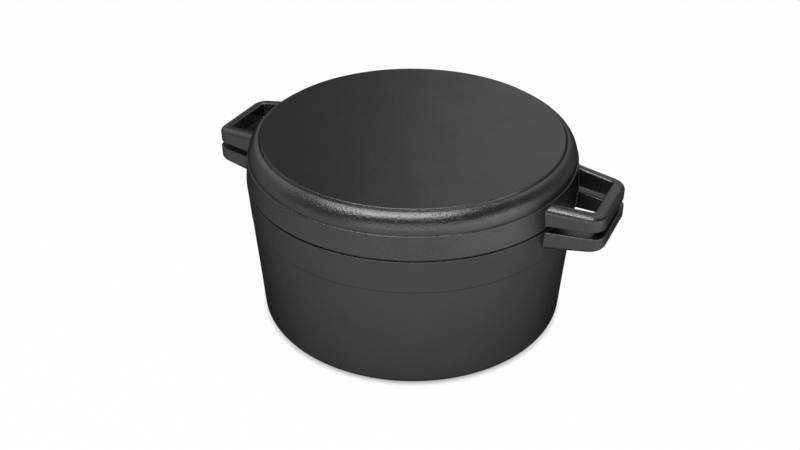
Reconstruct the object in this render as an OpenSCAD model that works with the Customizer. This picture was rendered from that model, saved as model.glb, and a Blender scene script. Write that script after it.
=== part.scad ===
// Two-part cast-iron dutch oven: a deep pot, and a shallow pan that lies upside down on it as the lid.
// The pot stands on z = 0 about the Z axis, and the handles point along +X and -X.
// Each body and its handles are cast in one, so the handles end exactly on the body's outer face.

/* [Pot] */
// Outer diameter at the rim, where the pot and the lid meet
rim_d = 270; // [200:1:340]
// Height of the pot from its base to its rim
pot_h = 121; // [85:1:180]
// Thickness of the pot's side wall
wall_t = 4.2; // [3:0.1:5]
// Outward lean of the side wall, in degrees
wall_lean = 3.5; // [0:0.5:5]
// Thickness of the pot's base
base_t = 4.5; // [3:0.1:8]
// Radius round the outer edge of the base
base_edge_r = 6; // [2:0.5:10]
// Radius between the base and the wall inside the pot
floor_corner_r = 12; // [4:0.5:25]

/* [Rim band] */
// Height of the thicker band below the rim
band_h = 29; // [22:0.5:45]
// How far the band narrows on its radius, from the rim to its lower edge
band_draft = 1.7; // [0:0.1:3]
// How far the band's lower edge stands out from the wall
band_step = 0.3; // [0.1:0.1:2.5]
// Height of the slope from the band's lower edge down to the wall
band_slope_h = 0.6; // [0.3:0.1:5]
// Radius on the band's lower edge
band_edge_r = 0.3; // [0.1:0.1:0.8]

/* [Lid seat] */
// Width of the rim, from its outer edge to the rebate
rim_land = 3.5; // [2.5:0.1:4.5]
// Depth of the rebate inside the rim
rebate_h = 4.5; // [3:0.1:8]
// Thickness of the lip under the lid that drops into the rebate
lip_w = 2.8; // [2:0.1:4]
// Clearance round the lip
lip_gap = 0.6; // [0.3:0.1:1]
// Clearance under the lip
lip_play = 0.5; // [0.3:0.1:1.5]
// Height of the groove round the pot's rim, just under the lid, which shows as a dark line
seam_h = 1.6; // [0.5:0.1:2]
// Depth of that groove
seam_depth = 1.8; // [0.5:0.1:2]

/* [Lid] */
// Height of the lid above the rim
lid_h = 35; // [30:0.5:60]
// Height of the lid's skirt above the rim
skirt_h = 19; // [17:0.5:22]
// How far the skirt narrows on its radius, from the rim to its top
skirt_draft = 1.8; // [0:0.1:3]
// Width of the ledge on top of the skirt
ledge_w = 1.1; // [0.8:0.1:3]
// Radius along the outer edge of the ledge
skirt_edge_r = 1; // [0.3:0.1:1.4]
// Width of the rounded shoulder between the ledge and the plateau
shoulder_w = 8.9; // [5:0.1:10]
// Height of the low step round the plateau
plateau_step = 1.6; // [0.8:0.1:3]
// Width of the low step round the plateau, with the gutter at its foot
plateau_step_w = 1.7; // [1.2:0.1:3]
// Width of the flat gutter between the shoulder and the sloped face of the step
gutter_w = 0.5; // [0.2:0.1:0.8]
// Radius along the plateau's edge
plateau_edge_r = 1.2; // [0.2:0.1:1.4]
// Thickness of the lid's plate
lid_plate_t = 4.6; // [3:0.1:8]
// Inward lean of the lid's inner wall, in degrees
lid_lean = 2; // [0.5:0.5:3]
// Radius between the plate and the wall inside the lid
lid_corner_r = 15; // [8:0.5:18]

/* [Handles] */
// How far the lid's handles reach out from the rim
lid_handle_reach = 34.4; // [26:0.1:60]
// How far the pot's handles reach out from the rim
pot_handle_reach = 35.3; // [26:0.1:60]
// Width of a handle where it leaves the rim
handle_root_w = 78; // [60:1:100]
// Inward slant of a handle's sides, in degrees
handle_taper = 10; // [0:1:15]
// Width of a handle's bar, seen from above
bar_w = 10; // [7:0.5:14]
// Radius of the finger opening's outer corners
loop_corner_r = 2.5; // [2:0.5:6]
// How much wider a bar is at its flat face, on the side of the finger opening
loop_draft = 1.1; // [0:0.1:1.5]
// Thickness of the lid's handles at the rim
lid_handle_h = 14.6; // [10:0.1:15]
// Fall of the lid handles' rounded top from the rim outwards, in degrees
lid_handle_fall = 4.8; // [0:0.1:6]
// Height of the lid's handles above the rim
lid_handle_rise = 2; // [0.5:0.1:3]
// Radius along the edge of the finger opening in the lid handles' top
lid_loop_edge_r = 2.4; // [0.5:0.1:2.6]
// Radius along the lower edges of the lid's handles
lid_flat_edge_r = 0.4; // [0.2:0.1:1.5]
// How far down the crowned top of the lid's handles falls at its outer edge
lid_crown_h = 5.2; // [2:0.1:7]
// Width of the flat strip along the top of the lid's handles
lid_crown_flat = 0.1; // [0.1:0.1:2]
// Thickness of the pot's handles at the rim
pot_handle_h = 15; // [10:0.1:18]
// Rise of the pot handles' rounded underside from the rim outwards, in degrees
pot_handle_rise = 5.2; // [0:0.1:6]
// Radius along the lower outer edge of the pot's handles
pot_handle_edge_r = 4.4; // [1:0.1:4.5]
// Depth of the pot's handles below the rim
pot_handle_drop = 3.7; // [1:0.1:8]
// Radius along the edge of the finger opening in the pot handles' underside
pot_loop_edge_r = 1.2; // [0.3:0.1:2.4]
// Radius along the upper edges of the pot's handles
pot_flat_edge_r = 1; // [0.2:0.1:1.5]

/* [Hidden] */
$fn = 128;

iron = "#303030";
rim_r = rim_d / 2;

// Degrees between the points of a rounded corner of a turned outline
arc_step = 9;
// Degrees between the points of a rounded edge of a handle's bar
edge_step = 18;
// Steps round the outer edge of a handle's rounded face
crown_steps = 8;
// Steps round a corner of a handle
corner_steps = 10;

// Pot: radii and heights of the outline
band_z = pot_h - band_h;
band_r = rim_r - band_draft;
wall_r = band_r - band_step;
wall_z = band_z - band_slope_h;
base_r = wall_r - wall_z * tan(wall_lean);
groove_z = pot_h - seam_h;
groove_r = rim_r - band_draft * seam_h / band_h;
rebate_r = rim_r - rim_land;
rebate_z = pot_h - rebate_h;
mouth_r = base_r + rebate_z * tan(wall_lean) - wall_t;
floor_r = base_r + base_t * tan(wall_lean) - wall_t;

// Lid: radii and heights of the outline
lip_r = rebate_r - lip_gap;
lip_z = rebate_z + lip_play;
skirt_r = rim_r - skirt_draft;
ledge_z = pot_h + skirt_h;
shoulder_r = skirt_r - ledge_w;
step_r = shoulder_r - shoulder_w;
plateau_r = step_r - plateau_step_w;
plateau_z = pot_h + lid_h;
step_z = plateau_z - plateau_step;
plate_z = plateau_z - lid_plate_t;
lid_mouth_r = lip_r - lip_w;
plate_r = lid_mouth_r - (plate_z - lip_z) * tan(lid_lean);

// The shoulder is one arc, upright at the ledge, that ends at the foot of the step
shoulder_rise = step_z - ledge_z;
shoulder_arc_r = (pow(shoulder_w, 2) + pow(shoulder_rise, 2)) / (2 * shoulder_w);
shoulder_centre_r = shoulder_r - shoulder_arc_r;
shoulder_turn = atan2(shoulder_rise, step_r - shoulder_centre_r);
shoulder_steps = ceil(shoulder_turn / arc_step) * 2;

// Handle, seen from above: corner arcs tangent to the slanted sides and the outer bar
bar_corner_r = loop_corner_r + bar_w;
corner_turn = 90 - handle_taper;

// Width of the crowned part of a lid handle's top: what the flat strip and the loop's edge leave of the bar
lid_crown_w = bar_w - lid_loop_edge_r - lid_crown_flat;

// The rounding of the skirt's top edge takes up at most the ledge
skirt_top_r = min(skirt_edge_r, ledge_w);

function unit(v) = v / norm(v);

// One corner of an outline, a point [x, y, radius], as the points of its arc
function corner(before, at, after, step) =
    let (
        a = unit([before[0] - at[0], before[1] - at[1]]),
        b = unit([after[0] - at[0], after[1] - at[1]]),
        half = acos(a * b) / 2,
        centre = [at[0], at[1]] + unit(a + b) * at[2] / sin(half),
        start = [at[0], at[1]] + a * at[2] / tan(half) - centre,
        turn = (a[0] * b[1] - a[1] * b[0] > 0 ? -1 : 1) * (180 - 2 * half),
        from = atan2(start[1], start[0]),
        steps = max(2, ceil(abs(turn) / step))
    )
    [for (i = [0:steps]) centre + at[2] * [cos(from + turn * i / steps), sin(from + turn * i / steps)]];

// A closed outline of points [x, y, radius], with each corner rounded to its radius
function rounded(points, step) =
    let (n = len(points))
    [
        for (i = [0:n - 1])
            each points[i][2] == 0
                ? [[points[i][0], points[i][1]]]
                : corner(points[(i + n - 1) % n], points[i], points[(i + 1) % n], step)
    ];

// The pot's outer face, from the base's centre to the flat land on the rim
pot_outside = [
    [0, 0, 0],
    [base_r, 0, base_edge_r],
    [wall_r, wall_z, 0],
    [band_r, band_z, band_edge_r],
    [groove_r, groove_z, 0],
    [rim_r - seam_depth, groove_z, 0],
    [rim_r - seam_depth, pot_h, 0]
];

// The pot's inner face, from the rim's rebate to the floor's centre
pot_inside = [
    [rebate_r, pot_h, 0],
    [rebate_r, rebate_z, 0],
    [mouth_r, rebate_z, 0],
    [floor_r, base_t, floor_corner_r],
    [0, base_t, 0]
];

// The lid's outer face, from its lower edge to the plateau's centre
lid_outside = [
    [rim_r, pot_h, 0],
    [skirt_r, ledge_z, skirt_top_r],
    for (i = [0:shoulder_steps])
        let (a = shoulder_turn * i / shoulder_steps)
        [shoulder_centre_r + shoulder_arc_r * cos(a), ledge_z + shoulder_arc_r * sin(a), 0],
    [step_r - gutter_w, step_z, 0],
    [plateau_r, plateau_z, plateau_edge_r],
    [0, plateau_z, 0]
];

// The lid's inner face, from the plate's centre to the lip and back to the seat on the rim
lid_inside = [
    [0, plate_z, 0],
    [plate_r, plate_z, lid_corner_r],
    [lid_mouth_r, lip_z, 0],
    [lip_r, lip_z, 0],
    [lip_r, pot_h, 0]
];

module turned(outline) {
    rotate_extrude() polygon(rounded(outline, arc_step));
}

// The pot and the lid with their hollows filled, which the handles end on
module pot_block() {
    turned(concat(pot_outside, [[0, pot_h, 0]]));
}

module lid_block() {
    turned(concat(lid_outside, [[0, pot_h, 0]]));
}

// Section of a handle's bar: x runs outwards across the bar, y up from its flat face to its rounded one.
// The outer edge of the rounded face is a quarter of an ellipse.
function bar_section(thickness, crown_w, crown_h, loop_edge_r, flat_edge_r) = rounded([
    [loop_corner_r - loop_draft, 0, flat_edge_r],
    [bar_corner_r, 0, flat_edge_r],
    for (i = [0:crown_steps])
        let (a = 90 * i / crown_steps)
        [bar_corner_r - crown_w * (1 - cos(a)), thickness - crown_h * (1 - sin(a)), 0],
    [loop_corner_r, thickness, loop_edge_r]
], edge_step);

// Stations along a handle's bar, from root to root: a point and the way outwards, in degrees.
// Its side bars start well inside the body's outer face.
function bar_stations(reach) =
    let (
        x = rim_r + reach - bar_corner_r,
        y = handle_root_w / 2 - (x - rim_r) * tan(handle_taper) - bar_corner_r / cos(handle_taper),
        side_l = reach + bar_w,
        root_x = x - side_l * cos(handle_taper),
        root_y = y + side_l * sin(handle_taper)
    )
    [
        [root_x, root_y, corner_turn],
        for (i = [0:corner_steps]) [x, y, corner_turn * (1 - i / corner_steps)],
        for (i = [0:corner_steps]) [x, -y, -corner_turn * i / corner_steps],
        [root_x, -root_y, -corner_turn]
    ];

// Handle along +X: its bar is carried round the finger opening, with its flat face on z = 0
// and its rounded face falling outwards
module handle(reach, thickness, fall, crown_w, crown_h, loop_edge_r, flat_edge_r) {
    stations = bar_stations(reach);
    section = bar_section(thickness, crown_w, crown_h, loop_edge_r, flat_edge_r);
    n = len(section);
    last = len(stations) - 1;
    points = [
        for (s = stations)
            for (p = section)
                let (x = s[0] + p[0] * cos(s[2]), y = s[1] + p[0] * sin(s[2]))
                [x, y, p[1] * (1 - (x - rim_r) * tan(fall) / thickness)]
    ];
    faces = [
        for (i = [0:last - 1])
            for (j = [0:n - 1])
                let (k = (j + 1) % n)
                each [
                    [i * n + j, i * n + k, (i + 1) * n + k],
                    [i * n + j, (i + 1) * n + k, (i + 1) * n + j]
                ],
        for (j = [1:n - 2])
            each [[0, j + 1, j], [last * n, last * n + j, last * n + j + 1]]
    ];
    polyhedron(points, faces);
}

module pot_handle() {
    color(iron)
        difference() {
            translate([0, 0, pot_h - pot_handle_drop])
                mirror([0, 0, 1])
                    handle(
                        pot_handle_reach, pot_handle_h, pot_handle_rise,
                        pot_handle_edge_r, pot_handle_edge_r, pot_loop_edge_r, pot_flat_edge_r);
            pot_block();
        }
}

module lid_handle() {
    color(iron)
        difference() {
            translate([0, 0, pot_h + lid_handle_rise])
                handle(
                    lid_handle_reach, lid_handle_h, lid_handle_fall,
                    lid_crown_w, lid_crown_h, lid_loop_edge_r, lid_flat_edge_r);
            lid_block();
        }
}

module pot_body() {
    color(iron) turned(concat(pot_outside, pot_inside));
}

module pot_handle_right() {
    pot_handle();
}

module pot_handle_left() {
    rotate([0, 0, 180]) pot_handle();
}

module lid_pan() {
    color(iron) turned(concat(lid_outside, lid_inside));
}

module lid_handle_right() {
    lid_handle();
}

module lid_handle_left() {
    rotate([0, 0, 180]) lid_handle();
}

pot_body();
pot_handle_right();
pot_handle_left();
lid_pan();
lid_handle_right();
lid_handle_left();
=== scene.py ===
# %% [markdown]
# This lesson dresses a two-part dutch oven: a deep pot, and a shallow pan that lies upside down on it as
# its lid. Both are sand-cast iron with a baked-on oil finish, and each is one casting with its two looped
# handles. The CAD model fixes every size and the one motion, lifting the lid. The steps below give it
# finished surfaces, the finish of the iron, and a plain studio.

import math

import bpy
import numpy as np
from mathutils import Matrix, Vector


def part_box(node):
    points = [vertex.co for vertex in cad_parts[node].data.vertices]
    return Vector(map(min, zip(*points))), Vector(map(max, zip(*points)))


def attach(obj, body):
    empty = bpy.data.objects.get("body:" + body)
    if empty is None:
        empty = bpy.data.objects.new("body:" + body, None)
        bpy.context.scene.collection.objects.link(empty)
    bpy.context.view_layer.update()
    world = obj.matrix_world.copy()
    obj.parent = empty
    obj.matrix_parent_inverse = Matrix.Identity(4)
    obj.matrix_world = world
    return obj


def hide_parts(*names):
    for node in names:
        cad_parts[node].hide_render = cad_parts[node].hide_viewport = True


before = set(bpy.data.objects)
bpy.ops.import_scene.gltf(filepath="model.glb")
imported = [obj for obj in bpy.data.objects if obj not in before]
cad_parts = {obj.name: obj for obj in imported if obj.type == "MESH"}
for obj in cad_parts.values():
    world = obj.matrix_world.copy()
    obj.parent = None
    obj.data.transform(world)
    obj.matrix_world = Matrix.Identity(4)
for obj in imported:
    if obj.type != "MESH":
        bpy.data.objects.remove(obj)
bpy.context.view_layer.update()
print("CAD nodes:", ", ".join(sorted(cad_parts)))

# %% [markdown]
# Blender works in metres, but an iron founder's drawing is in millimetres, so the shapes are worked out
# in millimetres and only become metres when a mesh is made. The main sizes are read from the boxes of the
# CAD nodes, so the surfaces can't drift away from the parts that they stand for.

# %% Main sizes, read from the frame
MM = 0.001


def box_mm(node):
    """Lowest and highest corner of a CAD node, in millimetres, to a tenth."""
    low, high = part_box(node)
    return np.round(np.array(low) / MM, 1), np.round(np.array(high) / MM, 1)


pot_h = box_mm("pot_body")[1][2]
lid_low, lid_high = box_mm("lid_pan")
rim_r = lid_high[0]
lip_z = lid_low[2]
plateau_z = lid_high[2]
print(f"rim radius {rim_r} mm, pot {pot_h} mm high, lid top at {plateau_z} mm, lip down to {lip_z} mm")

# %% [markdown]
# A turned body is an outline carried round an axis. An outline could be hundreds of points, but a founder
# thinks of it as a few corners, each with a radius. This step turns such corners into points: an arc at
# each corner, and evenly spread points along the straight sides. A guard point close to each end of a
# side keeps smooth shading flat on the flats, because shading is blended between neighbouring points.

# %% Outlines from corners
GUARD = 0.25
ARC_DEGREES = 9.0
ARC_CHORD = 1.2
ARC_LEAST_STEPS = 3


def unit(vector):
    """The vector divided by its own length."""
    return vector / np.linalg.norm(vector)


def corner_arc(before, at, after):
    """Arc of a corner [x, y, radius], tangent to its two sides. Its centre lies on the line that halves
    the corner, radius / sin(half) away, and it runs from one tangent point to the other."""
    a, b = unit(before[:2] - at[:2]), unit(after[:2] - at[:2])
    half = math.acos(np.clip(a @ b, -1, 1)) / 2
    turn = math.pi - 2 * half
    centre = at[:2] + unit(a + b) * at[2] / math.sin(half)
    start = a * at[2] / math.tan(half) + at[:2] - centre
    way = -math.copysign(1.0, a[0] * b[1] - a[1] * b[0])
    steps = math.ceil(max(math.degrees(turn) / ARC_DEGREES, turn * at[2] / ARC_CHORD, ARC_LEAST_STEPS))
    angles = math.atan2(start[1], start[0]) + way * np.linspace(0, turn, steps + 1)
    return centre + at[2] * np.column_stack([np.cos(angles), np.sin(angles)])


def side_points(start, end, spacing):
    """Points between the ends of a straight side: even shares of its length, and a guard near each end,
    at most a quarter of the side away from it."""
    length = np.linalg.norm(end - start)
    shares = np.linspace(0, 1, max(2, math.ceil(length / spacing) + 1))[1:-1]
    guard = min(GUARD, length / 4) / length
    shares = np.unique(np.concatenate([shares, [guard, 1 - guard]]))
    return start + shares[:, None] * (end - start)


def outline(corners, spacing):
    """Points of an open outline of corners [x, y, radius], and the number of the corner that each belongs
    to. A point on the side that follows a corner has that corner's number and a half. Both ends have no
    radius."""
    corners = np.array(corners, float)
    count = len(corners)
    arcs = [
        corners[i:i + 1, :2] if corners[i, 2] == 0
        else corner_arc(corners[i - 1], corners[i], corners[i + 1])
        for i in range(count)
    ]
    points, places = [], []
    for i, arc in enumerate(arcs):
        points.append(arc)
        places.append(np.full(len(arc), float(i)))
        if i < count - 1:
            side = side_points(arc[-1], arcs[i + 1][0], spacing)
            points.append(side)
            places.append(np.full(len(side), i + 0.5))
    return np.concatenate(points), np.concatenate(places)


# %% [markdown]
# The pot is one iron casting about 4 mm thick. Its base has a rounded edge, its wall leans out three and
# a half degrees so that the pattern leaves the sand, and a band below the rim stands out from the wall by
# a hair, which shows as a faint line. A groove round the rim, just under the lid, is the dark line
# between the two castings, and a rebate inside the rim takes the lid's lip. The corners start at the
# base's centre and go out, up, over the rim and back down inside, so the iron is always on the left.

# %% Outline of the pot
wall_t = 4.2
wall_lean = math.radians(3.5)
base_t = 4.5
base_edge_r = 6.0
floor_corner_r = 12.0
band_h = 29.0
band_draft = 1.7
band_step = 0.3
band_slope_h = 0.6
band_edge_r = 0.3
band_foot_r = 0.3
rim_land = 3.5
rebate_h = 4.5
seam_h = 1.6
seam_depth = 1.8
groove_edge_r = 0.45
worn_edge_r = 0.25

band_z = pot_h - band_h
band_r = rim_r - band_draft
wall_r = band_r - band_step
wall_z = band_z - band_slope_h
base_r = wall_r - wall_z * math.tan(wall_lean)
groove_z = pot_h - seam_h
groove_r = rim_r - band_draft * seam_h / band_h
rebate_r = rim_r - rim_land
rebate_z = pot_h - rebate_h
mouth_r = base_r + rebate_z * math.tan(wall_lean) - wall_t
floor_r = base_r + base_t * math.tan(wall_lean) - wall_t

pot_corners = [
    [0, 0, 0],
    [base_r, 0, base_edge_r],
    [wall_r, wall_z, band_foot_r],
    [band_r, band_z, band_edge_r],
    [groove_r, groove_z, groove_edge_r],
    [rim_r - seam_depth, groove_z, worn_edge_r],
    [rim_r - seam_depth, pot_h, worn_edge_r],
    [rebate_r, pot_h, worn_edge_r],
    [rebate_r, rebate_z, worn_edge_r],
    [mouth_r, rebate_z, worn_edge_r],
    [floor_r, base_t, floor_corner_r],
    [0, base_t, 0],
]
# Numbers of the corners past which the land on the rim, and then the inside, start
POT_LAND = 6
POT_INSIDE = 7
print(f"pot: {len(pot_corners)} corners, base radius {base_r:.1f} mm, mouth radius {mouth_r:.1f} mm")

# %% [markdown]
# The lid is a shallow pan turned over. Seen from outside it has a flat plateau with a low step round it,
# a narrow gutter at the foot of the step, a rounded shoulder, a ledge a millimetre wide and a slightly
# drafted skirt. The shoulder is one corner with a large radius: upright where it leaves the ledge, and
# tangent to the line that ends at its crest, beside the gutter. Its radius is a little under the largest
# that fits, which leaves room for a small fillet at its foot and a small round on its crest.

# %% Outline of the lid
skirt_h = 19.0
skirt_draft = 1.8
skirt_edge_r = 1.0
rim_edge_r = 0.35
ledge_w = 1.1
shoulder_w = 8.9
shoulder_share = 0.92
shoulder_foot_r = 0.15
plateau_step = 1.6
plateau_step_w = 1.7
plateau_edge_r = 1.2
crest_r = 0.5
gutter_w = 0.6
gutter_depth = 0.5
gutter_r = 0.15
lid_plate_t = 4.6
lid_lean = math.radians(2)
lid_corner_r = 15.0
lip_gap = 0.6
lip_w = 2.8

lip_r = rebate_r - lip_gap
lid_mouth_r = lip_r - lip_w
plate_z = plateau_z - lid_plate_t
plate_r = lid_mouth_r - (plate_z - lip_z) * math.tan(lid_lean)
skirt_r = rim_r - skirt_draft
ledge_z = pot_h + skirt_h
shoulder_r = skirt_r - ledge_w
step_r = shoulder_r - shoulder_w
step_z = plateau_z - plateau_step
plateau_r = step_r - plateau_step_w

shoulder_rise = step_z - ledge_z
shoulder_fit_r = (shoulder_w**2 + shoulder_rise**2) / (2 * shoulder_w)
shoulder_turn = math.asin(shoulder_rise / shoulder_fit_r)
shoulder_side = shoulder_fit_r * math.tan(shoulder_turn / 2)
shoulder_arc_r = shoulder_fit_r * shoulder_share

lid_corners = [
    [0, plate_z, 0],
    [plate_r, plate_z, lid_corner_r],
    [lid_mouth_r, lip_z, worn_edge_r],
    [lip_r, lip_z, worn_edge_r],
    [lip_r, pot_h, worn_edge_r],
    [rim_r, pot_h, rim_edge_r],
    [skirt_r, ledge_z, skirt_edge_r],
    [shoulder_r, ledge_z, shoulder_foot_r],
    [shoulder_r, ledge_z + shoulder_side, shoulder_arc_r],
    [step_r, step_z, crest_r],
    [step_r - gutter_w, step_z - gutter_depth, gutter_r],
    [plateau_r, plateau_z, plateau_edge_r],
    [0, plateau_z, 0],
]
# Numbers of the corner where the inside ends, and of the one past which the seat lies
LID_INSIDE = 3
LID_LAND = 4
print(f"lid: {len(lid_corners)} corners, shoulder radius {shoulder_arc_r:.1f} mm")

# %% [markdown]
# A casting is never quite true: its faces wander by a tenth of a millimetre or so, and that is what makes
# a reflection on it waver. The wander is a sum of a few smooth waves in space. It only ever takes iron
# away, so the surfaces stay inside the CAD box, and it fades out near the rim, where the seat has to stay
# flat.

# %% Wander of a cast face
WANDER = 0.16
WANDER_WAVES = np.array([
    [0.071, 0.038, 0.110],
    [-0.052, 0.093, 0.041],
    [0.118, 0.087, -0.063],
    [-0.127, 0.044, 0.150],
])
WAVE_SHIFT = 1.7
SEAT_CLEAR = 4.0


def wander(points, normals):
    """Moves points inwards along their normals by 0 to WANDER. The amount is half of one plus the mean of
    sines of position times a wave vector, times a ramp in height that is zero at the seat."""
    waves = np.sin(points @ WANDER_WAVES.T + np.arange(len(WANDER_WAVES)) * WAVE_SHIFT).mean(-1)
    ramp = np.clip(np.abs(points[..., 2] - pot_h) / SEAT_CLEAR - 1, 0, 1)
    depth = WANDER * (0.5 + 0.5 * waves) * ramp
    return points - normals * depth[..., None]


wave_mm = 2 * math.pi / np.linalg.norm(WANDER_WAVES, axis=1)
print(f"faces wander by up to {WANDER} mm, in waves {wave_mm.min():.0f} to {wave_mm.max():.0f} mm long")

# %% [markdown]
# A grid of points becomes a mesh in two steps: numbers for the corners of every face, worked out as whole
# arrays, and one call that hands them to Blender. The ends of the grid are closed with a fan of triangles
# round one point. The volume inside tells whether the faces point outwards: it comes out negative if they
# don't, and then every face is turned round.

# %% From grid to piece
SEGMENTS = 400
MM3_PER_ML = 1000


def grid_faces(rows, columns):
    """Quads between neighbouring rows of a grid whose columns close on themselves."""
    row, column = np.meshgrid(np.arange(rows - 1), np.arange(columns), indexing="ij")
    following = (column + 1) % columns
    a, b = row * columns + column, row * columns + following
    return np.stack([a, b, b + columns, a + columns], -1).reshape(-1, 4)


def fan_faces(ring_start, columns, tip, flip):
    """Triangles from a ring of the grid to one closing point."""
    column = np.arange(columns)
    ring, following = ring_start + column, ring_start + (column + 1) % columns
    order = [following, ring] if flip else [ring, following]
    return np.stack([*order, np.full(columns, tip)], -1)


def enclosed_ml(points, faces):
    """Volume inside closed faces in millilitres: the sum of the tetrahedra from the origin to each, a
    sixth of the triple product of its corners. A quad counts as two triangles, and a triangle's second is
    empty."""
    corners = points[np.concatenate([faces[:, :3], faces[:, [0, 2, faces.shape[1] - 1]]])]
    return np.einsum("ij,ij->", corners[:, 0], np.cross(corners[:, 1], corners[:, 2])) / 6 / MM3_PER_ML


def add_piece(name, points, quads, fans, body, node, materials, finish):
    """One finished piece: mesh, smooth shading, finishes by face, and the body that it rides on. The CAD
    node that it stands for is hidden.
    """
    volume = enclosed_ml(points, quads) + enclosed_ml(points, fans)
    if volume < 0:
        quads, fans = quads[:, ::-1], fans[:, ::-1]
    mesh = bpy.data.meshes.new(name)
    mesh.from_pydata((points * MM).tolist(), [], quads.tolist() + fans.tolist())
    mesh.shade_smooth()
    for material in materials:
        mesh.materials.append(material)
    mesh.polygons.foreach_set("material_index", finish.astype(np.int32))
    mesh.validate()
    mesh.update()
    piece = bpy.data.objects.new(name, mesh)
    bpy.context.scene.collection.objects.link(piece)
    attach(piece, body)
    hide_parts(node)
    triangles = 2 * len(quads) + len(fans)
    print(f"{name}: {abs(volume):.0f} ml of iron, {triangles} triangles")


# %% [markdown]
# A finish is a tree of nodes. Three helpers keep it short. One turns the sRGB hex colours of a colour
# card into the linear light that a shader needs, one adds a node with its settings and links, and one
# starts an empty material. The nodes could be set up by hand in the Shader Editor, but a script can be
# read and changed.

# %% Helpers for finishes
def linear(colour):
    """An sRGB hex colour as linear light, with full cover: the sRGB curve undone for each channel."""
    srgb = np.array([int(colour[i:i + 2], 16) for i in (1, 3, 5)]) / 255
    light = np.where(srgb <= 0.04045, srgb / 12.92, ((srgb + 0.055) / 1.055) ** 2.4)
    return (*light.tolist(), 1.0)


def add_node(tree, kind, settings=None, inputs=None):
    """Adds a node with its settings, and sets or links its inputs by name or number."""
    node = tree.nodes.new(kind)
    for key, value in (settings or {}).items():
        setattr(node, key, value)
    for socket, value in (inputs or {}).items():
        if isinstance(value, bpy.types.NodeSocket):
            tree.links.new(value, node.inputs[socket])
        else:
            node.inputs[socket].default_value = value
    return node


def new_material(name):
    """An empty node material and its output."""
    material = bpy.data.materials.new(name)
    material.use_nodes = True
    material.node_tree.nodes.clear()
    return material, add_node(material.node_tree, "ShaderNodeOutputMaterial")


print(f"middle grey #808080 is {linear('#808080')[0]:.3f} as light")

# %% [markdown]
# The skin of the casting is a print of the sand: pebbled grains, dents among them, now and then a pit,
# and slow swells where the sand was rammed unevenly. The flat tops are calmer, where the mould was
# smoothed. Real points that close together would run to millions, so the skin is a bump, one height in
# millimetres that is summed from patterns of real sizes. The real grains, about half a millimetre wide,
# would be lost between the dots of the picture, so they are drawn a millimetre wide.

# %% Skin of the casting
DENT_MM = 2.4
DENT_CORE, DENT_RIM = 0.05, 0.36
DENT_DEPTH = 0.7
PIT_MM = 11
PIT_CORE, PIT_RIM = 0.02, 0.07
PIT_DEPTH = 0.1
SWELL_MM = 14
CALM_FROM, CALM_TO = 0.9, 0.99
CALM_SHARE = 0.4


def sand_print(tree, place, upward, grain_mm, grain_height, swell_height):
    """Normal of the skin, from its height: the grains less the dents, times the grain's height, less the
    pits, plus the swells times theirs. The grain's height falls to CALM_SHARE of itself on faces that
    look up. Dents and pits lie round the middles of cells, and their cores and rims are shares of a
    cell's width."""
    grains = add_node(tree, "ShaderNodeTexNoise", inputs={
        "Vector": place, "Scale": 1 / (grain_mm * MM), "Detail": 1.0, "Roughness": 0.55})
    dent_cells = add_node(tree, "ShaderNodeTexVoronoi", inputs={
        "Vector": place, "Scale": 1 / (DENT_MM * MM)})
    dents = add_node(tree, "ShaderNodeMapRange", {"interpolation_type": "SMOOTHSTEP"}, {
        "Value": dent_cells.outputs["Distance"], "From Min": DENT_CORE, "From Max": DENT_RIM,
        "To Min": -DENT_DEPTH, "To Max": 0.0})
    sand = add_node(tree, "ShaderNodeMath", {"operation": "ADD"}, {
        0: grains.outputs["Fac"], 1: dents.outputs["Result"]})
    pit_cells = add_node(tree, "ShaderNodeTexVoronoi", inputs={
        "Vector": place, "Scale": 1 / (PIT_MM * MM)})
    pits = add_node(tree, "ShaderNodeMapRange", {"interpolation_type": "SMOOTHSTEP"}, {
        "Value": pit_cells.outputs["Distance"], "From Min": PIT_CORE, "From Max": PIT_RIM,
        "To Min": -PIT_DEPTH, "To Max": 0.0})
    calm = add_node(tree, "ShaderNodeMapRange", {"interpolation_type": "SMOOTHSTEP"}, {
        "Value": upward, "From Min": CALM_FROM, "From Max": CALM_TO,
        "To Min": grain_height, "To Max": grain_height * CALM_SHARE})
    pitted = add_node(tree, "ShaderNodeMath", {"operation": "MULTIPLY_ADD"}, {
        0: sand.outputs["Value"], 1: calm.outputs["Result"], 2: pits.outputs["Result"]})
    swells = add_node(tree, "ShaderNodeTexNoise", inputs={
        "Vector": place, "Scale": 1 / (SWELL_MM * MM), "Detail": 1.0})
    height = add_node(tree, "ShaderNodeMath", {"operation": "MULTIPLY_ADD"}, {
        0: swells.outputs["Fac"], 1: swell_height, 2: pitted.outputs["Value"]})
    bump = add_node(tree, "ShaderNodeBump", inputs={
        "Strength": 1.0, "Distance": MM, "Height": height.outputs["Value"]})
    return bump.outputs["Normal"]


print(f"skin: dents {DENT_MM} mm apart, pits {PIT_MM} mm, swells {SWELL_MM} mm")

# %% [markdown]
# Seasoning is oil that was baked on until it set as a thin, hard, nearly black film. The eye sees a soft
# black, faint clouds where the oil lay thicker, and a few pale flecks. One plain colour would look like
# paint, so the clouds blend two blacks, and the flecks are the small cores of some cells.

# %% Colour of the oil film
CLOUD_MM = 32
CLOUD_LOW, CLOUD_HIGH = 0.3, 0.7
FLECK_MM = 6
FLECK_CORE, FLECK_RIM = 0.04, 0.09
FLECK_COLOUR = "#343434"


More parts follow.
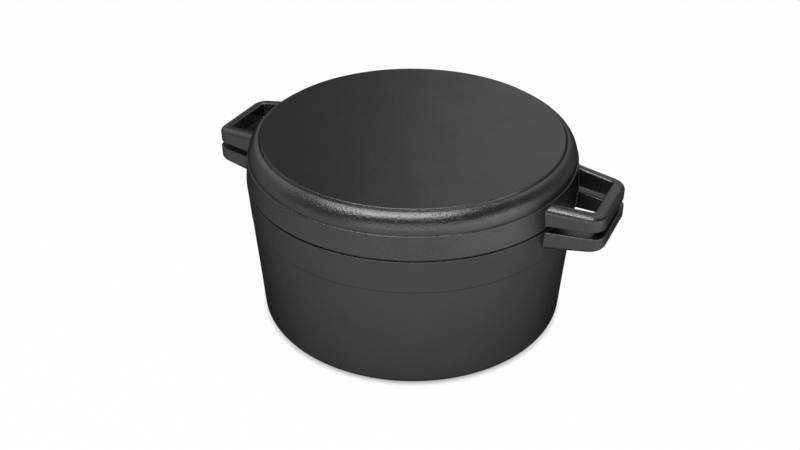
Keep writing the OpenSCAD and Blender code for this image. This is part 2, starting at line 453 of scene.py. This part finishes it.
def film_colour(tree, place, clouds, dark, light):
    """Colour of the film: from dark to light with the clouds, and pale in the middle of a fleck's cell."""
    tint = add_node(tree, "ShaderNodeValToRGB", inputs={"Fac": clouds})
    stops = tint.color_ramp.elements
    stops[0].position = CLOUD_LOW
    stops[0].color = linear(dark)
    stops[1].position = CLOUD_HIGH
    stops[1].color = linear(light)
    fleck_cells = add_node(tree, "ShaderNodeTexVoronoi", inputs={
        "Vector": place, "Scale": 1 / (FLECK_MM * MM)})
    flecks = add_node(tree, "ShaderNodeMapRange", inputs={
        "Value": fleck_cells.outputs["Distance"], "From Min": FLECK_CORE, "From Max": FLECK_RIM,
        "To Min": 1.0, "To Max": 0.0})
    colour = add_node(tree, "ShaderNodeMixRGB", inputs={
        "Fac": flecks.outputs["Result"], "Color1": tint.outputs["Color"], "Color2": linear(FLECK_COLOUR)})
    return colour.outputs["Color"]


print(f"film: clouds {CLOUD_MM} mm wide, flecks {FLECK_MM} mm apart")

# %% [markdown]
# The film has a satin shine that breaks up into sparks along the edges and dies away at a low angle,
# where each grain hides the one behind it. A plain gloss would do the opposite and go white along the
# sides, so here the shine grows rougher and weaker with the slant of the view. The smoothed tops hold it
# to a lower angle.

# %% Shine of the oil film
FILM_SHINE = 0.72
LOW_ANGLE_SHARE = 0.0009
LOW_ANGLE_POWER = 2.5
LOW_ANGLE_ROUGHNESS = 0.6
ROUGH_FROM, ROUGH_TO = -0.1, 0.8
CLOUD_GLOSS = 0.04
TOPS_FROM, TOPS_TO = 0.7, 0.95
TOPS_LEAD = 0.3


def film_shine(tree, upward, clouds, gloss):
    """Roughness and level of the shine. Slant runs from 0 face on to 1 edge on, less a lead on faces that
    look up. Roughness goes from the gloss, which varies with the clouds, to LOW_ANGLE_ROUGHNESS. The
    level is FILM_SHINE times LOW_ANGLE_SHARE to the power of hiding, and hiding is slant to
    LOW_ANGLE_POWER."""
    satin = add_node(tree, "ShaderNodeMapRange", inputs={
        "Value": clouds, "From Min": CLOUD_LOW, "From Max": CLOUD_HIGH,
        "To Min": gloss + CLOUD_GLOSS, "To Max": gloss - CLOUD_GLOSS})
    lead = add_node(tree, "ShaderNodeMapRange", {"interpolation_type": "SMOOTHSTEP"}, {
        "Value": upward, "From Min": TOPS_FROM, "From Max": TOPS_TO, "To Min": 0.0, "To Max": TOPS_LEAD})
    facing = add_node(tree, "ShaderNodeLayerWeight", inputs={"Blend": 0.5})
    slant = add_node(tree, "ShaderNodeMath", {"operation": "SUBTRACT"}, {
        0: facing.outputs["Facing"], 1: lead.outputs["Result"]})
    roughness = add_node(tree, "ShaderNodeMapRange", inputs={
        "Value": slant.outputs["Value"], "From Min": ROUGH_FROM, "From Max": ROUGH_TO,
        "To Min": satin.outputs["Result"], "To Max": LOW_ANGLE_ROUGHNESS})
    hiding = add_node(tree, "ShaderNodeMath", {"operation": "POWER"}, {
        0: slant.outputs["Value"], 1: LOW_ANGLE_POWER})
    left_over = add_node(tree, "ShaderNodeMath", {"operation": "POWER"}, {
        0: LOW_ANGLE_SHARE, 1: hiding.outputs["Value"]})
    level = add_node(tree, "ShaderNodeMath", {"operation": "MULTIPLY"}, {
        0: left_over.outputs["Value"], 1: FILM_SHINE})
    return roughness.outputs["Result"], level.outputs["Value"]


half_slant_share = LOW_ANGLE_SHARE ** (0.5 ** LOW_ANGLE_POWER)
print(f"shine left at half slant: {half_slant_share:.0%}")

# %% [markdown]
# Seasoned cast iron is the three together. The bare metal shows nowhere, so the shader is a dark
# non-metal with the index of a set oil film. There are three finishes: the cast skin outside, a smoother
# cooking face inside, and a ground seat where the lid meets the pot.

# %% Seasoned cast iron
OIL_FILM_IOR = 1.55


def seasoned_iron(name, dark, light, gloss, grain_mm, grain_height, swell_height):
    """Cast iron under baked oil: the print of the sand as a bump, and the colour and the shine of the
    film. Grain and swells have their heights in millimetres, and gloss is the roughness seen face on."""
    material, output = new_material(name)
    tree = material.node_tree
    around = add_node(tree, "ShaderNodeTexCoord")
    place = around.outputs["Object"]
    look = add_node(tree, "ShaderNodeSeparateXYZ", inputs={"Vector": around.outputs["Normal"]})
    upward = look.outputs["Z"]
    cloud_noise = add_node(tree, "ShaderNodeTexNoise", inputs={
        "Vector": place, "Scale": 1 / (CLOUD_MM * MM), "Detail": 5.0, "Roughness": 0.6})
    clouds = cloud_noise.outputs["Fac"]
    roughness, level = film_shine(tree, upward, clouds, gloss)
    shader = add_node(tree, "ShaderNodeBsdfPrincipled", inputs={
        "Base Color": film_colour(tree, place, clouds, dark, light),
        "Roughness": roughness, "Specular IOR Level": level, "IOR": OIL_FILM_IOR,
        "Normal": sand_print(tree, place, upward, grain_mm, grain_height, swell_height)})
    tree.links.new(shader.outputs["BSDF"], output.inputs["Surface"])
    return material


cast_skin = seasoned_iron("seasoned_cast_iron", "#0b0b0b", "#121212", 0.17, 1.1, 0.18, 0.05)
cooking_skin = seasoned_iron("seasoned_cooking_face", "#0e0e0e", "#161616", 0.26, 1.0, 0.05, 0.05)
ground_skin = seasoned_iron("seasoned_ground_seat", "#141414", "#1c1c1c", 0.26, 0.8, 0.02, 0.0)
FINISHES = [cast_skin, cooking_skin, ground_skin]
CAST, COOKING, GROUND = range(3)
print("finishes:", ", ".join(material.name for material in FINISHES))

# %% [markdown]
# Carrying an outline round the axis gives a surface of two numbers: the place along the outline and the
# angle. Blender's Spin or a Screw modifier could do it too, but working out the grid leaves the wander,
# the poles and the finish of each ring in our own hands.

# %% Pot and lid as turned surfaces
RING_SPACING = 5.0


def turned_piece(name, corners, body, node, finish_of):
    """The surface (r cos v, r sin v, z) for outline points (r, z) and angles v. The first and last
    outline points lie on the axis and close it as poles. Normals are the outline's tangent turned to its
    right."""
    path, places = outline(corners, RING_SPACING)
    tangent = np.gradient(path, axis=0)
    tangent /= np.linalg.norm(tangent, axis=1)[:, None]
    angle = np.linspace(0, 2 * math.pi, SEGMENTS, endpoint=False)
    ring = np.stack([np.cos(angle), np.sin(angle)], -1)

    def carried(values):
        flat = values[:, None, :1] * ring[None]
        return np.concatenate([flat, np.repeat(values[:, None, 1:], SEGMENTS, 1)], -1)

    normals = carried(np.column_stack([tangent[:, 1], -tangent[:, 0]]))
    surface = wander(carried(path), normals)
    inner = surface[1:-1].reshape(-1, 3)
    tips = np.stack([surface[0].mean(0), surface[-1].mean(0)])
    points = np.concatenate([inner, tips])
    rows = len(path) - 2
    quads = grid_faces(rows, SEGMENTS)
    fans = np.concatenate([
        fan_faces(0, SEGMENTS, len(inner), True),
        fan_faces((rows - 1) * SEGMENTS, SEGMENTS, len(inner) + 1, False)])
    between = (places[1:-2] + places[2:-1]) / 2
    finish = np.concatenate([
        np.repeat(finish_of(between), SEGMENTS),
        np.repeat(finish_of(places[[0, -1]]), SEGMENTS)])
    add_piece(name, points, quads, fans, body, node, FINISHES, finish)


def pot_finish(place):
    """Cast skin outside, ground land on the rim, cooking face inside."""
    return np.where(place > POT_INSIDE, COOKING, np.where(place > POT_LAND, GROUND, CAST))


def lid_finish(place):
    """Cooking face inside, ground land on the seat, cast skin outside."""
    land = (place > LID_LAND) & (place < LID_LAND + 1)
    return np.where(land, GROUND, np.where(place < LID_INSIDE, COOKING, CAST))


turned_piece("pot_shell", pot_corners, "pot", "pot_body", pot_finish)
turned_piece("lid_shell", lid_corners, "lid", "lid_pan", lid_finish)

# %% [markdown]
# A looped handle is a bar carried round a finger opening. Its face away from the seam is rounded and
# falls towards the outer end, so that a hand slides on to it, and its face at the seam is flat. The sides
# of the opening have a draft, as a pattern needs to leave the sand. This step draws the bar's section. It
# could be a plain rounded rectangle, but then the soft crown along the outer edge, which catches the
# light, would be missing.

# %% Section of a handle's bar
bar_w = 10.0
loop_corner_r = 2.5
loop_draft = 1.1
lid_bar = {"thickness": 14.6, "crown_w": 7.5, "crown_h": 5.2, "loop_edge_r": 2.4, "flat_edge_r": 0.4}
pot_bar = {"thickness": 15.0, "crown_w": 4.4, "crown_h": 4.4, "loop_edge_r": 1.2, "flat_edge_r": 1.0}
bar_corner_r = loop_corner_r + bar_w
SECTION_SPACING = 1.6
CROWN_STEPS = 14


def bar_section(thickness, crown_w, crown_h, loop_edge_r, flat_edge_r):
    """Closed section of a bar, with the flat face at height 0. The outer edge of the other face is a
    quarter of an ellipse: width times cosine, and height times sine, of an angle from 0 to 90 degrees."""
    sides, _ = outline([
        [bar_corner_r - crown_w, thickness, 0],
        [loop_corner_r, thickness, loop_edge_r],
        [loop_corner_r - loop_draft, 0, flat_edge_r],
        [bar_corner_r, 0, flat_edge_r],
        [bar_corner_r, thickness - crown_h, 0]], SECTION_SPACING)
    angle = np.linspace(0, math.pi / 2, CROWN_STEPS + 1)[1:-1]
    crown = np.column_stack([
        bar_corner_r - crown_w * (1 - np.cos(angle)), thickness - crown_h * (1 - np.sin(angle))])
    return np.concatenate([sides, crown])


print(f"bar sections: lid {len(bar_section(**lid_bar))} points, pot {len(bar_section(**pot_bar))} points")

# %% [markdown]
# The section is carried from one root round both corners to the other. A casting has no sharp inner
# corner, so the bar swells into a small fillet where it leaves the body. A bevelled curve could stand in
# for the bar, but a grid of sections keeps the flat face flat. The ends run two millimetres into the
# wall, where they can't be seen.

# %% Half of a handle
handle_root_w = 78.0
handle_taper = math.radians(10)
lid_fall = math.radians(4.8)
pot_fall = math.radians(5.2)
root_fillet = 0.6
root_depth = 2.0
# Rows near the root by their distance from the body, closest together in the fillet
root_steps = np.array([-root_depth, -0.3, 0, 0.06, 0.15, 0.27, 0.42, 0.6, 0.8, 1.05, 1.5, 2.5])
SIDE_ROWS = 10
CORNER_ROWS = 14

side_out = np.array([math.sin(handle_taper), math.cos(handle_taper)])
side_along = np.array([math.cos(handle_taper), -math.sin(handle_taper)])


def skirt_radius(z):
    """Outer radius of the lid's skirt at a height."""
    return rim_r - skirt_draft * (z - pot_h) / skirt_h


def band_radius(z):
    """Outer radius of the pot's band at a height."""
    return rim_r - band_draft * (pot_h - z) / band_h


def half_handle(tip_x, flat_z, up, bar_sizes, fall, body_radius):
    """Sections of a right handle from one root to the end of its corner. A point is the corner's centre
    plus its distance across the bar along the way outwards; on the side bar it also runs back along the
    bar to where that line meets the body, the smaller root of a quadratic. Height is the flat face plus
    the section's height times a fall that is linear in x. The fillet is a quarter circle of swell at the
    root."""
    section = bar_section(**bar_sizes)
    across, high = section.T
    tangent = np.roll(section, -1, 0) - np.roll(section, 1, 0)
    tangent /= np.linalg.norm(tangent, axis=1)[:, None]

    def raised(x):
        return flat_z + up * high * (1 - (x - rim_r) * math.tan(fall) / bar_sizes["thickness"])

    corner_x = tip_x - bar_corner_r
    corner_y = (handle_root_w / 2 - (corner_x - rim_r) * math.tan(handle_taper)
                - bar_corner_r / math.cos(handle_taper))
    start = np.array([corner_x, corner_y]) + across[:, None] * side_out
    along = start @ side_along
    reach = body_radius(raised(rim_r))
    to_body = along - np.sqrt(along**2 - (start**2).sum(-1) + reach**2)
    shares = np.linspace(0, 1, SIDE_ROWS + 1)[1:]
    back = np.concatenate([
        to_body - root_steps[:, None],
        (to_body - root_steps[-1]) * (1 - shares[:, None])])
    bar = start - back[..., None] * side_along
    sides = np.concatenate([bar, raised(bar[..., 0])[..., None]], -1)

    clear = np.hypot(sides[..., 0], sides[..., 1]) - body_radius(sides[..., 2])
    near = np.clip(1 - clear / root_fillet, 0, 1)
    swell = root_fillet * (1 - np.sqrt(1 - near**2))
    outward = np.column_stack([tangent[:, 1:2] * side_out, -up * tangent[:, :1]])
    sides = sides + swell[..., None] * outward

    turn = np.linspace(math.pi / 2 - handle_taper, 0, CORNER_ROWS + 1)[1:, None]
    x, y = corner_x + across * np.cos(turn), corner_y + across * np.sin(turn)
    return np.concatenate([sides, np.stack([x, y, raised(x)], -1)])


lid_grip_low, lid_grip_high = box_mm("lid_handle_right")
pot_grip_high = box_mm("pot_handle_right")[1]
lid_half = half_handle(lid_grip_high[0], lid_grip_low[2], 1, lid_bar, lid_fall, skirt_radius)
pot_half = half_handle(pot_grip_high[0], pot_grip_high[2], -1, pot_bar, pot_fall, band_radius)
print(f"half a handle: lid {lid_half.shape[0]} sections, pot {pot_half.shape[0]} sections")

# %% [markdown]
# A handle is the same on both sides of its middle, so its second half is the mirror image of the first,
# and the left handles are the right ones turned half a turn about the pot's axis. A Mirror modifier could
# add the second half, but a single grid has no seam across the front.

# %% Whole handles
FRONT_ROWS = 12


def handle_piece(name, side, body, node, half):
    """A whole handle from its half: even shares of the way across the front, then the half mirrored in y.
    Side -1 turns it half a turn about the pot's axis."""
    mirror = np.array([1, -1, 1])
    shares = np.linspace(0, 1, FRONT_ROWS + 1)[1:-1, None, None]
    front = half[-1] * (1 - shares) + half[-1] * mirror * shares
    bar = np.concatenate([half, front, half[::-1] * mirror]) * np.array([side, side, 1])
    rows, columns = bar.shape[:2]
    points = np.concatenate([bar.reshape(-1, 3), bar[[0, -1]].mean(1)])
    quads = grid_faces(rows, columns)
    fans = np.concatenate([
        fan_faces(0, columns, rows * columns, True),
        fan_faces((rows - 1) * columns, columns, rows * columns + 1, False)])
    finish = np.full(len(quads) + len(fans), CAST)
    add_piece(name, points, quads, fans, body, node, [cast_skin], finish)


for end, side in (("right", 1), ("left", -1)):
    handle_piece(f"lid_grip_{end}", side, "lid", f"lid_handle_{end}", lid_half)
    handle_piece(f"pot_grip_{end}", side, "pot", f"pot_handle_{end}", pot_half)

# %% [markdown]
# The camera stands where the photographer stood: a little to the right of the pot's front, looking down
# by a third of a right angle, with a 45 mm lens. It could be placed by hand, but it is placed by turning
# round an aim point on the optical axis, so that each angle and the distance can be changed alone.

# %% Camera
camera_azimuth = math.radians(26.2)
camera_down = math.radians(32.416)
camera_distance = 833.0
camera_aim = np.array([-3.35, -16.55, 73.99])

toward_camera = np.array([
    math.sin(camera_azimuth) * math.cos(camera_down),
    -math.cos(camera_azimuth) * math.cos(camera_down),
    math.sin(camera_down)])
lens = bpy.data.cameras.new("camera")
lens.lens = 45.0
lens.sensor_width = 36.0
lens.clip_start = 0.05
camera = bpy.data.objects.new("camera", lens)
camera.location = (camera_aim + camera_distance * toward_camera) * MM
camera.rotation_euler = (math.pi / 2 - camera_down, 0, camera_azimuth)
bpy.context.scene.collection.objects.link(camera)
bpy.context.scene.camera = camera
print("camera at", [round(c, 4) for c in camera.location])

# %% [markdown]
# The studio is a sheet of white paper on the floor that curves up into a low wall all round. A plane and
# a backdrop would do for one view, but the oven is looked at from all sides, so the sheet is turned from
# an outline as the pot is, this time in metres.

# %% Floor
FLOOR_R = 2.4
COVE_R = 0.6
WALL_H = 1.0
FLOOR_SPACING = 0.4
FLOOR_STEPS = 96

floor_path, _ = outline([
    [0, 0, 0],
    [FLOOR_R + COVE_R, 0, COVE_R],
    [FLOOR_R + COVE_R, WALL_H, 0]], FLOOR_SPACING)
floor_angle = np.linspace(0, 2 * math.pi, FLOOR_STEPS, endpoint=False)
floor_rings = np.stack([
    floor_path[1:, :1] * np.cos(floor_angle),
    floor_path[1:, :1] * np.sin(floor_angle),
    np.repeat(floor_path[1:, 1:], FLOOR_STEPS, 1)], -1)
floor_points = np.concatenate([floor_rings.reshape(-1, 3), [[0, 0, 0]]])
floor_quads = grid_faces(len(floor_path) - 1, FLOOR_STEPS)[:, ::-1]
floor_fan = fan_faces(0, FLOOR_STEPS, len(floor_points) - 1, True)[:, ::-1]
floor_mesh = bpy.data.meshes.new("studio_floor")
floor_mesh.from_pydata(floor_points.tolist(), [], floor_quads.tolist() + floor_fan.tolist())
floor_mesh.shade_smooth()
floor = bpy.data.objects.new("studio_floor", floor_mesh)
bpy.context.scene.collection.objects.link(floor)
print(f"floor: {len(floor_points)} points, white out to {FLOOR_R + COVE_R:.1f} m")

# %% [markdown]
# Camera, glossy and transmission rays see the paper as white, so the iron mirrors the same white that the
# camera sees; up the wall that white is painted darker, as painted shade. The rest of its light is an
# ordinary matt white that keeps the oven's shadow. A contact shadow is painted into the white glow from
# the share of nearby open space. The camera sees it short and soft. Glossy rays see a wider, deeper
# painted shadow, because the pot's side mirrors the floor that it darkens.

# %% White paper
PAPER_COLOUR = "#b8b8b8"
PAPER_GLOW = 0.99
FADE_H = 0.5
FADE_TO = 0.2
CONTACT_SAMPLES = 8
CONTACT_REACH = 0.0045
CONTACT_POWER = 0.5
GLOSSY_REACH = 0.115
GLOSSY_POWER = 0.5

white_paper, paper_output = new_material("white_paper")
paper = white_paper.node_tree
rays = add_node(paper, "ShaderNodeLightPath")
glossy = rays.outputs["Is Glossy Ray"]
direct = add_node(paper, "ShaderNodeMath", {"operation": "ADD"}, {
    0: rays.outputs["Is Camera Ray"], 1: glossy})
seen = add_node(paper, "ShaderNodeMath", {"operation": "ADD", "use_clamp": True}, {
    0: direct.outputs["Value"], 1: rays.outputs["Is Transmission Ray"]})
share = add_node(paper, "ShaderNodeMath", {"operation": "MULTIPLY"}, {
    0: seen.outputs["Value"], 1: PAPER_GLOW})
matt = add_node(paper, "ShaderNodeBsdfDiffuse", inputs={"Color": linear(PAPER_COLOUR)})

# Reach and power of the painted contact shadow: a part for all rays, and more for glossy ones
reach = add_node(paper, "ShaderNodeMath", {"operation": "MULTIPLY_ADD"}, {
    0: glossy, 1: GLOSSY_REACH, 2: CONTACT_REACH})
power = add_node(paper, "ShaderNodeMath", {"operation": "MULTIPLY_ADD"}, {
    0: glossy, 1: GLOSSY_POWER, 2: CONTACT_POWER})
open_space = add_node(paper, "ShaderNodeAmbientOcclusion", {"samples": CONTACT_SAMPLES}, {
    "Distance": reach.outputs["Value"]})
# Painted shadow: the glow is scaled by the open space round each point, raised to this power
contact = add_node(paper, "ShaderNodeMath", {"operation": "POWER"}, {
    0: open_space.outputs["AO"], 1: power.outputs["Value"]})

sheet = add_node(paper, "ShaderNodeTexCoord")
climb = add_node(paper, "ShaderNodeSeparateXYZ", inputs={"Vector": sheet.outputs["Object"]})
# Painted shade: the glow falls from full on the floor to FADE_TO of itself high on the wall
fading = add_node(paper, "ShaderNodeMapRange", {"interpolation_type": "SMOOTHSTEP"}, {
    "Value": climb.outputs["Z"], "From Min": 0.0, "From Max": FADE_H, "To Min": 1.0, "To Max": FADE_TO})
# Strength of the glow: the painted contact shadow times the painted shade up the wall
white = add_node(paper, "ShaderNodeMath", {"operation": "MULTIPLY"}, {
    0: contact.outputs["Value"], 1: fading.outputs["Result"]})
glow = add_node(paper, "ShaderNodeEmission", inputs={"Strength": white.outputs["Value"]})
mixed = add_node(paper, "ShaderNodeMixShader", inputs={
    0: share.outputs["Value"], 1: matt.outputs["BSDF"], 2: glow.outputs["Emission"]})
paper.links.new(mixed.outputs["Shader"], paper_output.inputs["Surface"])
floor_mesh.materials.append(white_paper)
print(f"white paper: {len(paper.nodes)} nodes")

# %% [markdown]
# A soft box is a lamp behind a white cloth. Seasoned iron shows it as a soft band, where a point lamp
# would leave a hard spark. What the iron mirrors is the brightness of the cloth, so that is what is set,
# and the power follows from it. Places are given as the camera sees them, in degrees to the right and up.

# %% Helpers for lights
def soft_box(name, location, aim, width, depth, radiance):
    """A rectangular lamp that faces a point. Its power is pi times its area times its radiance."""
    light = bpy.data.lights.new(name, "AREA")
    light.shape = "RECTANGLE"
    light.size = width
    light.size_y = depth
    light.energy = math.pi * width * depth * radiance
    lamp = bpy.data.objects.new(name, light)
    lamp.location = location
    toward = np.array(aim) - np.array(location)
    yaw = math.atan2(toward[1], toward[0]) - math.pi / 2
    tilt = math.atan2(math.hypot(toward[0], toward[1]), -toward[2])
    lamp.rotation_euler = (tilt, 0, yaw)
    lamp.visible_camera = False
    bpy.context.scene.collection.objects.link(lamp)
    print(f"{name}: {light.energy:.1f} W")


def studio_place(bearing, elevation, distance, seen_from):
    """A place seen from a point: bearing in degrees to the right of the camera, elevation and distance."""
    a = camera_azimuth + math.radians(bearing)
    e = math.radians(elevation)
    direction = np.array([math.sin(a) * math.cos(e), -math.cos(a) * math.cos(e), math.sin(e)])
    return seen_from + distance * direction


# %% [markdown]
# Ten soft boxes light the iron. The key hangs level over the front of the lid and draws the bright line
# along its shoulder, and a dimmer one behind it carries that light over the tops of the handles. Two low
# boxes, in front and on the right, light the lower half of the shoulder, and two very dim ones above and
# beside them fill the dark band under the bright line. One on each side draws the ends of that line, a
# wide dim one hangs behind and lies in the lid's flat top as a slow gradient, and a card of light on the
# floor in front on the right lightens that part of the lid's skirt. One bright sky could light it all,
# but then nothing would draw the lines. The room around the boxes is a dim grey.

# %% Lights
HANG_ELEVATION = 87
HANG_HEIGHT = 1.0
CARD_LIFT = 0.004
ROOM_COLOUR = "#555555"

lid_centre = np.array([0, 0, plateau_z]) * MM

# Boxes that hang over a point beside the lid's centre
for name, bearing, distance, width, depth, radiance in (
        ("key_box", -33, 0.37, 1.1, 0.47, 7.1),
        ("over_box", -136, 0.28, 1.0, 0.56, 2.2)):
    aim = studio_place(bearing, 0, distance, lid_centre)
    place = studio_place(0, HANG_ELEVATION, HANG_HEIGHT, aim)
    soft_box(name, place, aim, width, depth, radiance)

# Boxes that stand round the lid and face its centre
for name, bearing, elevation, distance, width, depth, radiance in (
        ("right_box", 115, 55, 1.4, 0.8, 0.8, 0.9),
        ("front_box", 4, 11, 1.7, 3.2, 1.0, 1.4),
        ("brow_box", -8, 36, 1.7, 2.6, 0.8, 0.16),
        ("low_left_box", -78, 22, 1.7, 2.0, 0.9, 0.2),
        ("side_box", 62, 9, 1.6, 0.8, 0.7, 2.4),
        ("back_box", 147, 31, 1.9, 2.1, 1.2, 0.57),
        ("left_box", -121, 27, 1.7, 1.4, 1.45, 0.98)):
    place = studio_place(bearing, elevation, distance, lid_centre)
    soft_box(name, place, lid_centre, width, depth, radiance)

card_place = studio_place(51, 0, 0.64, np.array([0, 0, CARD_LIFT]))
straight_up = card_place + np.array([0, 0, 1])
soft_box("floor_card", card_place, straight_up, 0.56, 0.56, 0.75)

world = bpy.data.worlds.new("dim_room")
world.use_nodes = True
world.node_tree.nodes["Background"].inputs["Color"].default_value = linear(ROOM_COLOUR)
world.node_tree.nodes["Background"].inputs["Strength"].default_value = 1.0
bpy.context.scene.world = world
bpy.context.scene.view_settings.view_transform = "Standard"
